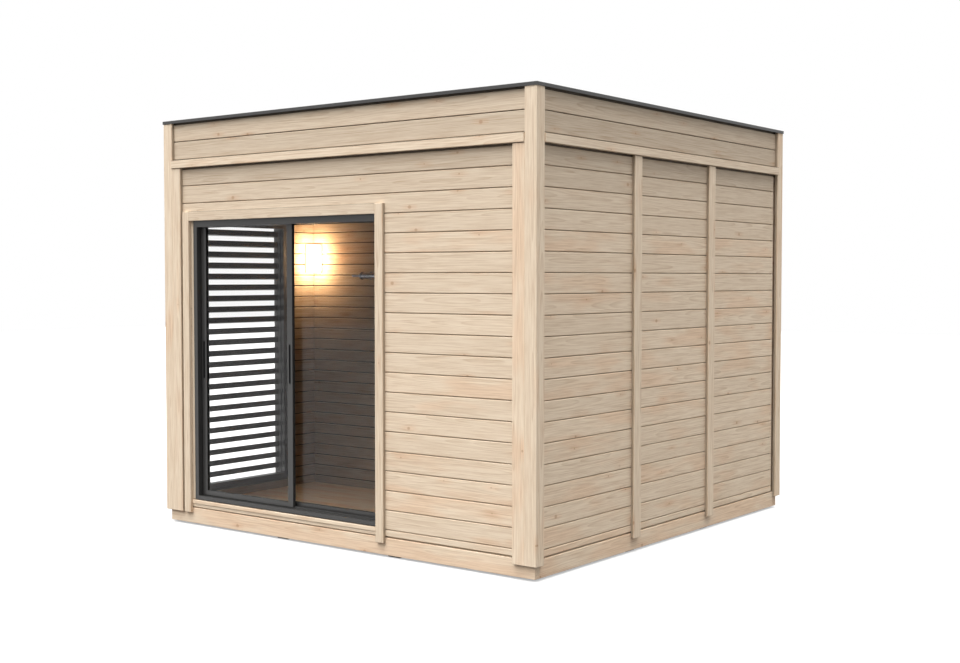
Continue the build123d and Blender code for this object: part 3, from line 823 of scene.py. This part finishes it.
@dataclass
class Walls:
    """Boarded walls of the cabin and its partition."""

    RUNS: ClassVar[tuple[WallRun, ...]] = (
        WallRun("front_wall", ("front_wall_left", "front_wall_over_door", "front_wall_right"),
                Facing.FRONT, Facing.REAR),
        WallRun("right_wall", ("right_wall",), Facing.RIGHT, Facing.LEFT),
        WallRun("back_wall", ("back_wall",), Facing.REAR, Facing.FRONT),
        WallRun("left_wall", ("left_wall_front", "left_wall_under_window", "left_wall_over_window",
                              "left_wall_rear"), Facing.LEFT, Facing.RIGHT),
        WallRun("partition", ("partition_left", "partition_over_doorway", "partition_right"),
                Facing.FRONT, Facing.REAR, clad=False),
    )
    # Tone shifts of the four top rows of outer boards: painted shade under the trim band.
    TOP_ROW_SHADES: ClassVar[tuple[float, ...]] = (-2.9, -1.7, -1.2, -0.7)
    cabin: Cabin
    skin: float = 0.004
    board_ends: float = 0.0015
    overrun: float = 0.020
    batten_reach: float = 0.05

    def build(self) -> None:
        """Makes every wall."""
        for run in self.RUNS:
            self._run(run)

    def _run(self, run: WallRun) -> None:
        """Makes one wall: its outer boards with the core behind them, and its inner boards."""
        cabin = self.cabin
        outside = cabin.outside if run.clad else cabin.lining
        # Skins of the core, painted dark as the shade in the lining's grooves.
        dark = cabin.lining.groove_shade_tone
        axis, outer, inner = run.outer.axis, run.outer.sign, run.inner.sign
        boxes = [node_box(node) for node in run.nodes]
        inner_mesh = TimberMesh(f"{run.name}_lining")
        outer_mesh = TimberMesh(f"{run.name}_cladding") if run.clad else inner_mesh
        self._board(outer_mesh, boxes, run.outer, outside, self._butts(run, boxes[0]) if run.clad else [])
        if run.clad and axis == Axis.BACK.value:
            boxes = [self._set_back(box) for box in boxes]
        self._board(inner_mesh, boxes, run.inner, cabin.lining, [])
        for box in boxes:
            core = box.behind(axis, outer, outside.thickness).behind(axis, inner, cabin.lining.thickness)
            inner_mesh.plank(core.layer(axis, inner, self.skin), SHARP, 1 - axis, dark)
            if not run.clad:
                inner_mesh.plank(core.layer(axis, outer, self.skin), SHARP, 1 - axis, dark)
                continue
            rest = core.behind(axis, inner, self.skin)
            # Above this line the core shows in the gap under the trim band, painted darker as the shadow there.
            line = cabin.wall_top - outside.head_gap - outside.gap / 2
            outer_mesh.plank(rest.cut(2, rest.low.z, line), SHARP, 1 - axis, outside.groove_shade_tone)
            if rest.high.z > line:
                outer_mesh.plank(rest.cut(2, line, rest.high.z), SHARP, 1 - axis, cabin.gap_shade_tone)
        inner_mesh.build("lining_timber", cabin.palette, CABIN, run.nodes)
        if run.clad:
            outer_mesh.build("cladding_timber", cabin.palette, CABIN, run.nodes)

    def _butts(self, run: WallRun, box: Box) -> list[float]:
        """Places along a wall where its boards are butted behind a batten."""
        axis = run.outer.axis
        face = box.high[axis] if run.outer.sign > 0 else box.low[axis]
        middles = [batten.centre for batten in node_solids("wall_battens")]
        return sorted(middle[1 - axis] for middle in middles if abs(middle[axis] - face) < self.batten_reach)

    def _rows(self, cover: float, low: float) -> Iterable[tuple[float, float]]:
        """Foot and head of each row of boards, counted down from the wall's top."""
        top = self.cabin.wall_top
        while top > low + REMAINDER:
            yield max(top - cover, low), top
            top -= cover

    def _board(self, mesh: TimberMesh, boxes: Sequence[Box], facing: Facing, boarding: Boarding,
               butts: Sequence[float]) -> None:
        """Puts rows of boards on one face of a wall, through all the boxes that they cross.

        Args:
            mesh: The mesh that takes the boards.
            boxes: The parts of the wall, in order along it.
            facing: The face.
            boarding: The boards.
            butts: Places along the wall where boards are butted.
        """
        along = 1 - facing.axis
        outdoors = boarding is self.cabin.outside
        overrun = self.overrun if outdoors and facing.axis == Axis.ACROSS.value else 0.0
        first, last = boxes[0].low[along], boxes[-1].high[along]
        # Painted shade on the top rows of outer boards.
        row_shades = self.TOP_ROW_SHADES if outdoors else ()
        for row, (foot, head) in enumerate(self._rows(boarding.cover, self.cabin.wall_foot)):
            shift = row_shades[row] if row < len(row_shades) else 0.0
            for part in self._stretches(boxes, foot, head, along, boarding):
                layer = part.layer(facing.axis, facing.sign, boarding.thickness)
                layer = layer.cut(2, layer.low.z + boarding.gap / 2, layer.high.z - boarding.gap / 2)
                layer = layer.cut(2, layer.low.z, self.cabin.wall_top - boarding.head_gap)
                start, stop = part.low[along], part.high[along]
                inner_butts = [place for place in butts if start < place < stop]
                start -= overrun if abs(start - first) < SAME_PLACE else 0.0
                stop += overrun if abs(stop - last) < SAME_PLACE else 0.0
                ends = [start - self.board_ends, *inner_butts, stop + self.board_ends]
                for left, right in zip(ends, ends[1:]):
                    board = Box(layer.low.copy(), layer.high.copy())
                    board.low[along], board.high[along] = left + self.board_ends, right - self.board_ends
                    mesh.plank(board, boarding.arris, along, None, shift)

    @staticmethod
    def _stretches(boxes: Sequence[Box], foot: float, head: float, along: int, boarding: Boarding) -> list[Box]:
        """The stretches of wall that one row of boards covers, with touching parts joined.

        Args:
            boxes: The parts of the wall, in order along it.
            foot: Height of the row's foot.
            head: Height of the row's head.
            along: The axis of the wall's length.
            boarding: The boards.

        Returns:
            The stretches, without those too low for a board.
        """
        stretches: list[Box] = []
        for box in boxes:
            part = box.cut(2, foot, head)
            if part.size.z < boarding.gap + 4 * boarding.arris:
                continue
            if stretches and stretches[-1].meets(part, along):
                stretches[-1] = Box(stretches[-1].low, part.high)
            else:
                stretches.append(part)
        return stretches

    def _set_back(self, box: Box) -> Box:
        """A front or back wall without its ends, which the side walls' boards run over."""
        face = node_box("right_wall").high.x - self.cabin.outside.thickness
        return box.cut(0, -face, face)


@dataclass
class Base:
    """Plinth boards and floor boards."""

    cabin: Cabin
    arris: float = 0.002
    drip_gap: float = 0.008
    drip_depth: float = 0.015
    # Plinth boards painted lighter, as light bounced up from the floor.
    plinth_light_tone: float = 1.3
    floor_cover: float = 0.120
    floor_board: float = 0.020
    floor_gap: float = 0.0025
    floor_arris: float = 0.0012

    def build(self) -> None:
        """Makes the base."""
        plinth = TimberMesh("plinth_boards_planed")
        for box in node_solids("plinth_boards"):
            thin = min((0, 1), key=lambda axis: box.size[axis])
            drip = box.high.z - self.drip_gap
            plinth.plank(box.cut(2, box.low.z, drip), self.arris, None, self.plinth_light_tone)
            core = box.cut(thin, box.low[thin] + self.drip_depth, box.high[thin] - self.drip_depth)
            # The core shows in the drip gap, painted dark as the shadow there.
            plinth.plank(core.cut(2, drip, box.high.z), SHARP, None, self.cabin.core_shade_tone)
        plinth.build("cladding_timber", self.cabin.palette, CABIN, ["plinth_boards"])
        box = node_box("floor_deck")
        floor = TimberMesh("floor_boards")
        low = box.low.y
        while low < box.high.y - REMAINDER:
            high = min(low + self.floor_cover, box.high.y)
            strip = box.cut(1, low + self.floor_gap / 2, high - self.floor_gap / 2)
            floor.plank(strip.layer(2, 1, self.floor_board), self.floor_arris, 0)
            low = high
        # The core under the floor boards, painted dark as the shade in their gaps.
        floor.plank(box.behind(2, 1, self.floor_board), SHARP, 0, self.cabin.core_shade_tone)
        floor.build("floor_timber", self.cabin.palette, CABIN, ["floor_deck"])


@dataclass
class Trim:
    """Corner posts, edge boards, battens, casings, fascia and trim bands."""

    PLAIN: ClassVar[tuple[str, ...]] = ("front_edge_boards", "wall_battens", "door_casing_sides",
                                        "door_casing_head", "door_lining", "trim_bands", "roof_upstands")
    # Darker tones of some trim pieces, standing in for the shade on them.
    PAINTED_SHADE_SHIFTS: ClassVar[dict[str, float]] = {
        "trim_bands": -0.8, "door_casing_head": -1.6, "door_casing_sides": -1.2, "door_lining": -4.0}
    # Darker tones of the fascia rows, painted shade under the coping.
    FASCIA_ROW_SHADES: ClassVar[tuple[float, ...]] = (-1.4, -2.9, -1.5)
    cabin: Cabin
    arris: float = 0.0018
    joint: float = 0.0006
    sill_drop: float = 0.007
    shadow_gap: float = 0.009
    band_lift: float = 0.003
    band_drop: float = 0.008
    lamp_arris: float = 0.0055
    # Side fascia boards are painted darker, as the shade on the sides.
    side_shade_tone: float = -0.8
    # Tone of a dark strip painted on tops, which cuts the light they bounce onto the wall.
    top_shade_tone: float = -11.0
    # Tone of the strips painted dark as shade along the flanks of upright boards and battens.
    flank_shade_tone: float = -6.0
    strip: float = 0.001
    rebate: float = 0.004
    face: float = 0.007

    def build(self) -> None:
        """Makes every trim piece."""
        for node in self.PLAIN:
            self._planed(node)
        lamp = TimberMesh("wall_lamp_base_planed")
        for box in self._lamp_legs():
            lamp.plank(box, self.lamp_arris, 2)
        lamp.build("lamp_timber", self.cabin.palette, CABIN, ["wall_lamp_base"])
        self._sill()
        self._posts()
        self._fascia()

    def _planed(self, node: str) -> None:
        """Makes one node's boards, with painted shade: darker tones, dark strips on flanks and tops, and a dark
        back layer on side battens.
        """
        mesh = TimberMesh(f"{node}_planed")
        lift, drop = (self.band_lift, self.band_drop) if node == "trim_bands" else (0.0, 0.0)
        for box in node_solids(node):
            plank = self.cabin.under_coping(box).cut(2, box.low.z + lift, box.high.z - drop)
            tone = mesh.random.random() + self.PAINTED_SHADE_SHIFTS.get(node, 0.0)
            if node == "wall_battens" and box.thinnest() == 0:
                plank = self._rebated(mesh, plank)
            elif node in ("front_edge_boards", "door_casing_sides"):
                right = box.centre.x > node_box("door_casing_head").centre.x
                self._paint_flank_shade(mesh, plank, 1, right == (node == "door_casing_sides"))
            elif node in ("door_casing_head", "trim_bands"):
                # A dark strip painted on the top, which cuts the light it would bounce onto the wall above.
                mesh.plank(plank.layer(2, 1, self.strip), SHARP, 0, self.top_shade_tone)
                plank = plank.behind(2, 1, self.strip)
            mesh.plank(plank, self.arris, None, tone)
        mesh.build("trim_timber", self.cabin.palette, CABIN, [node])

    def _rebated(self, mesh: TimberMesh, box: Box) -> Box:
        """Adds the back layer of a side wall's batten, set back in a rebate and painted dark as shade.

        Args:
            mesh: The mesh that takes it.
            box: The batten.

        Returns:
            The batten's front layer.
        """
        back = box.cut(1, box.low.y + self.rebate, box.high.y - self.rebate)
        mesh.plank(back.behind(0, box.side(0), self.face), SHARP, 2, self.flank_shade_tone)
        return box.layer(0, box.side(0), self.face)

    def _paint_flank_shade(self, mesh: TimberMesh, box: Box, thin: int, towards: bool) -> None:
        """Adds a strip of painted shade along an upright board's flank against the wall, behind the board's
        face.

        Args:
            mesh: The mesh that takes it.
            box: The board.
            thin: The axis of the board's thickness.
            towards: Whether the flank looks along its axis, and not against it.
        """
        strip = box.behind(thin, box.side(thin), self.face)
        flank = 1 - thin
        place = strip.high[flank] if towards else strip.low[flank] - self.strip
        strip.low[flank], strip.high[flank] = place, place + self.strip
        mesh.plank(strip, SHARP, 2, self.flank_shade_tone)

    def _lamp_legs(self) -> list[Box]:
        """The two boards of the corner lamp's back."""
        box = node_box("wall_lamp_base")
        depth = node_levels("wall_lamp_base", Axis.ACROSS)[1] - box.low.x
        near = box.layer(0, -1, depth).cut(1, box.low.y, box.high.y - depth - self.joint)
        return [box.layer(1, 1, depth), near]

    def _sill(self) -> None:
        """The sill: a board with a proud nose, over a flush one."""
        box = node_box("door_sill")
        nose_foot = node_levels("door_sill", Axis.UP)[1]
        nose_end = node_levels("door_sill", Axis.ACROSS)[1]
        body = box.cut(1, node_levels("door_sill", Axis.BACK)[1], box.high.y)
        nose = box.cut(2, nose_foot, box.high.z - self.sill_drop).cut(0, box.low.x, nose_end)
        mesh = TimberMesh("door_sill_planed")
        mesh.plank(nose, self.arris)
        mesh.plank(body.cut(2, nose_foot, box.high.z).cut(0, nose_end, box.high.x), self.arris, 0)
        mesh.plank(body.cut(2, box.low.z, nose_foot - self.joint), self.arris)
        mesh.build("trim_timber", self.cabin.palette, CABIN, ["door_sill"])

    def _posts(self) -> None:
        """Each corner post is a front or back board and a narrower side board butted behind it."""
        mesh = TimberMesh("corner_posts_planed")
        depth = node_box("wall_battens").high.x - node_box("right_wall").high.x
        for whole in node_solids("corner_posts"):
            box = self.cabin.under_coping(whole)
            leg = box.layer(1, box.side(1), depth)
            side = box.behind(1, box.side(1), depth + self.joint).layer(0, box.side(0), depth)
            mesh.plank(leg, self.arris, 2)
            mesh.plank(side, self.arris, 2)
            # Strips of painted shade along the posts' inner flanks.
            self._paint_flank_shade(mesh, leg, 1, box.side(0) < 0)
            self._paint_flank_shade(mesh, side, 0, box.side(1) < 0)
        mesh.build("trim_timber", self.cabin.palette, CABIN, ["corner_posts"])

    def _fascia(self) -> None:
        """Fascia boards in rows that line up with the trim band's top."""
        boarding = self.cabin.outside
        mesh = TimberMesh("fascia_boards_planed")
        half_gap = boarding.gap / 2
        band_top = node_box("trim_bands").high.z
        head_line = self.cabin.coping_foot - self.shadow_gap + half_gap
        for whole in node_solids("fascia_boards"):
            box = self.cabin.under_coping(whole)
            thin = box.thinnest()
            # Side fascia boards painted darker, as the shade on those faces.
            side_shade_tone = self.side_shade_tone if thin == 0 else 0.0
            levels = [box.low.z + self.band_lift, band_top, band_top + boarding.cover, head_line]
            for index, (foot, head) in enumerate(zip(levels, levels[1:])):
                low = foot if foot == band_top else foot + half_gap
                row = box.cut(2, low, head - half_gap).layer(thin, box.side(thin), boarding.thickness)
                tone = self.FASCIA_ROW_SHADES[index] + side_shade_tone + mesh.random.random()
                mesh.plank(row, boarding.arris, None, tone)
            # The core behind the fascia rows, painted dark as the shadow in their gaps.
            mesh.plank(box.behind(thin, box.side(thin), boarding.thickness), SHARP, None, self.cabin.gap_shade_tone)
        mesh.build("cladding_timber", self.cabin.palette, CABIN, ["fascia_boards"])


@dataclass
class Roof:
    """The ceiling boards under the deck."""

    cabin: Cabin
    cover: float = 0.0775
    thickness: float = 0.010
    gap: float = 0.004
    arris: float = 0.0018
    narrowest: float = 0.008

    def build(self) -> None:
        """Makes the ceilings of the two rooms."""
        walls = node_box("right_wall")
        partition = node_box("partition_left")
        left = node_box("left_wall_front").high.x
        rooms = (("ceiling_front", walls.low.y, partition.low.y),
                 ("ceiling_rear", partition.high.y, walls.high.y))
        for name, place, last in rooms:
            mesh = TimberMesh(name)
            while place < last - REMAINDER:
                end = min(place + self.cover, last)
                low = Vector((left, place + self.gap / 2, self.cabin.wall_top - self.thickness))
                high = Vector((walls.low.x, end - self.gap / 2, self.cabin.wall_top))
                if high.y - low.y > self.narrowest:
                    mesh.plank(Box(low, high), self.arris, 0)
                place = end
            mesh.build("lining_timber", self.cabin.palette, CABIN)


@dataclass
class Coping:
    """Folded sheet round the top of the fascia, mitred at its corners."""

    cabin: Cabin
    fold: float = 0.0012
    seam: float = 0.0004

    def build(self) -> None:
        """Makes the four lengths as one piece."""
        box = node_box("roof_coping")
        points: list[Vector] = []
        faces: list[list[int]] = []
        outline = self._outline()
        turns = ((0, 0), (1, 0), (1, 1), (0, 1))
        for index, start in enumerate(turns):
            end = turns[(index + 1) % 4]
            along = Vector((end[0] - start[0], end[1] - start[1], 0.0)) * self.seam
            first = len(points)
            for corner, shift in ((start, along), (end, -along)):
                points += [self._at(box, corner, inward, height) + shift for inward, height in outline]
            count = len(outline)
            near = list(range(first, first + count))
            far = list(range(first + count, first + 2 * count))
            faces += [near, far]
            faces += [[near[i], near[i - 1], far[i - 1], far[i]] for i in range(count)]
        mesh = bpy.data.meshes.new("coping_folded")
        mesh.from_pydata(points, [], faces)
        shell = bmesh.new()
        shell.from_mesh(mesh)
        bmesh.ops.recalc_face_normals(shell, faces=shell.faces)
        shell.to_mesh(mesh)
        shell.free()
        mesh.materials.append(self.cabin.palette.material("coping_metal"))
        piece = bpy.data.objects.new("coping_folded", mesh)
        bpy.context.scene.collection.objects.link(piece)
        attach(piece, CABIN)
        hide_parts("roof_coping")
        LOG.info("coping_folded: %d faces", len(mesh.polygons))

    def _outline(self) -> list[tuple[float, float]]:
        """The sheet's section, as distances inward from its outer face and heights."""
        top, foot, sheet, fold = self.cabin.coping_top, self.cabin.coping_foot, self.cabin.sheet, self.fold
        across = node_levels("roof_coping", Axis.ACROSS)
        width = max(place for place in across if place < 0) - across[0]
        lip = node_levels("roof_coping", Axis.UP)[1]
        outer = [(0.0, foot), (0.0, top - fold), (fold, top), (width - fold, top), (width, top - fold),
                 (width, lip)]
        inner = [(width - sheet, lip), (width - sheet, top - sheet), (sheet, top - sheet), (sheet, foot)]
        return outer + inner

    @staticmethod
    def _at(box: Box, corner: tuple[int, int], inward: float, height: float) -> Vector:
        """A place near a corner of the ring."""
        x = box.high.x - inward if corner[0] else box.low.x + inward
        y = box.high.y - inward if corner[1] else box.low.y + inward
        return Vector((x, y, height))


@dataclass
class Metalwork:
    """The nodes whose CAD form is shown as it is: metal, glass, lamp shade, roofing sheet and pads."""

    cabin: Cabin

    def build(self) -> None:
        """Dresses each node in its slot's finish."""
        for row in frame["record"]["subparts"]:
            node = frame["nodes"][row["node"]]
            if not node.hide_render:
                node.data.materials.clear()
                node.data.materials.append(self.cabin.palette.material(row["material_slot"]))
                LOG.info("%s: dressed in %s", row["node"], row["material_slot"])


@dataclass(frozen=True)
class Lamp:
    """A broad distant lamp.

    It stands at an azimuth, 0 in front and 90 to the right, and at a height above the horizon. Its power is its
    light on a surface that faces it, and its width is how wide it looks from the cabin. Angles are in degrees.
    """

    name: str
    azimuth: float
    height: float
    power: float
    width: float

    def build(self) -> None:
        """Makes the lamp."""
        data = bpy.data.lights.new(self.name, "SUN")
        data.energy = self.power
        data.angle = math.radians(self.width)
        lamp = bpy.data.objects.new(self.name, data)
        side, up = math.radians(self.azimuth), math.radians(self.height)
        towards = Vector((math.sin(side) * math.cos(up), -math.cos(side) * math.cos(up), math.sin(up)))
        lamp.rotation_mode = "QUATERNION"
        lamp.rotation_quaternion = towards.to_track_quat("Z", "Y")
        bpy.context.scene.collection.objects.link(lamp)


@dataclass
class Studio:
    """Camera, lamps, backdrop and floor."""

    LAMPS: ClassVar[tuple[Lamp, ...]] = (
        Lamp("key_lamp", -12.0, 50.0, 2.10, 45.0),
        Lamp("right_lamp", 145.0, 60.0, 0.45, 45.0),
        Lamp("top_lamp", 0.0, 90.0, 4.3, 62.0),
    )
    PLACE: ClassVar[Triple] = (5.5602, -7.2869, 1.6291)
    GLOW_COLOUR: ClassVar[Colour] = (1.0, 0.70, 0.42)
    GLOW_RISES: ClassVar[tuple[float, ...]] = (-0.075, 0.0, 0.075)
    pitch: float = 87.705
    heading: float = 37.461
    lens: float = 50.0
    film: float = 36.0
    ambient: float = 0.80
    glow_fade: float = 0.60
    glow_steepness: float = 4.0
    glow_power: float = 3.9
    glow_reach: float = 0.056
    glow_size: float = 0.03
    floor_reach: float = 60.0
    floor_dark: float = 0.03
    floor_pale: float = 0.42
    floor_lift: float = 0.45

    def build(self) -> None:
        """Makes the whole studio."""
        self._camera()
        self._world()
        for lamp in self.LAMPS:
            lamp.build()
        self._glow()
        self._floor()
        bpy.context.scene.view_settings.view_transform = "Standard"

    def _camera(self) -> None:
        """The photograph's camera."""
        data = bpy.data.cameras.new("camera")
        data.lens = self.lens
        data.sensor_width = self.film
        camera = bpy.data.objects.new("camera", data)
        camera.location = self.PLACE
        camera.rotation_euler = (math.radians(self.pitch), 0.0, math.radians(self.heading))
        bpy.context.scene.collection.objects.link(camera)
        bpy.context.scene.camera = camera

    def _world(self) -> None:
        """A white backdrop to look at, and a dimmer sky that lights."""
        world = bpy.data.worlds.new("studio")
        bpy.context.scene.world = world
        tree = ShaderTree(world)
        level = tree.looked_at() * (1.0 - self.ambient) + self.ambient
        sky = tree.add("ShaderNodeBackground", None, {"Color": WHITE, "Strength": level})
        tree.finish("ShaderNodeOutputWorld", sky)

    def _glow(self) -> None:
        """The corner lamp's own warm light, one above another inside its shade."""
        shade = node_box("wall_lamp_shade")
        corner = Vector((shade.low.x, shade.high.y, shade.centre.z))
        data = bpy.data.lights.new("corner_lamp_light", "POINT")
        data.energy = self.glow_power
        data.color = self.GLOW_COLOUR
        data.shadow_soft_size = self.glow_size
        tree = ShaderTree(data)
        level = 1.0 / (1.0 + (tree.ray("Ray Length") / self.glow_fade) ** self.glow_steepness)
        light = tree.add("ShaderNodeEmission", None, {"Color": WHITE, "Strength": level})
        tree.finish("ShaderNodeOutputLight", light)
        for index, rise in enumerate(self.GLOW_RISES):
            lamp = bpy.data.objects.new(f"corner_lamp_light_{index}", data)
            lamp.location = corner + Vector((self.glow_reach, -self.glow_reach, rise))
            lamp.visible_camera = False
            lamp.visible_glossy = False
            bpy.context.scene.collection.objects.link(lamp)

    def _floor(self) -> None:
        """A pale floor that melts into the backdrop and keeps the cabin's shadow."""
        half = self.floor_reach / 2
        mesh = bpy.data.meshes.new("floor")
        corners = [(-half, -half, 0.0), (half, -half, 0.0), (half, half, 0.0), (-half, half, 0.0)]
        mesh.from_pydata(corners, [], [(0, 1, 2, 3)])
        material, tree = material_tree("floor")
        seen = tree.looked_at()
        colour = tree.mix(seen, (self.floor_dark,) * 3, (self.floor_pale,) * 3)
        pale = tree.add("ShaderNodeBsdfDiffuse", None, {"Color": colour})
        lift = tree.add("ShaderNodeEmission", None, {"Color": WHITE, "Strength": seen * self.floor_lift})
        surface = tree.add("ShaderNodeAddShader", None, {0: pale, 1: lift})
        tree.finish("ShaderNodeOutputMaterial", surface)
        mesh.materials.append(material)
        floor = bpy.data.objects.new("floor", mesh)
        bpy.context.scene.collection.objects.link(floor)


def main() -> None:
    """Builds the studio and every sub-assembly, in order."""
    logging.basicConfig(level=logging.INFO, format="%(message)s")
    cabin = Cabin()
    shells = [kind(cabin) for kind in (Walls, Base, Trim, Roof, Coping, Metalwork)]
    for part in (Studio(), *shells):
        LOG.info("building %s", type(part).__name__)
        part.build()


if __name__ == "__main__":
    main()
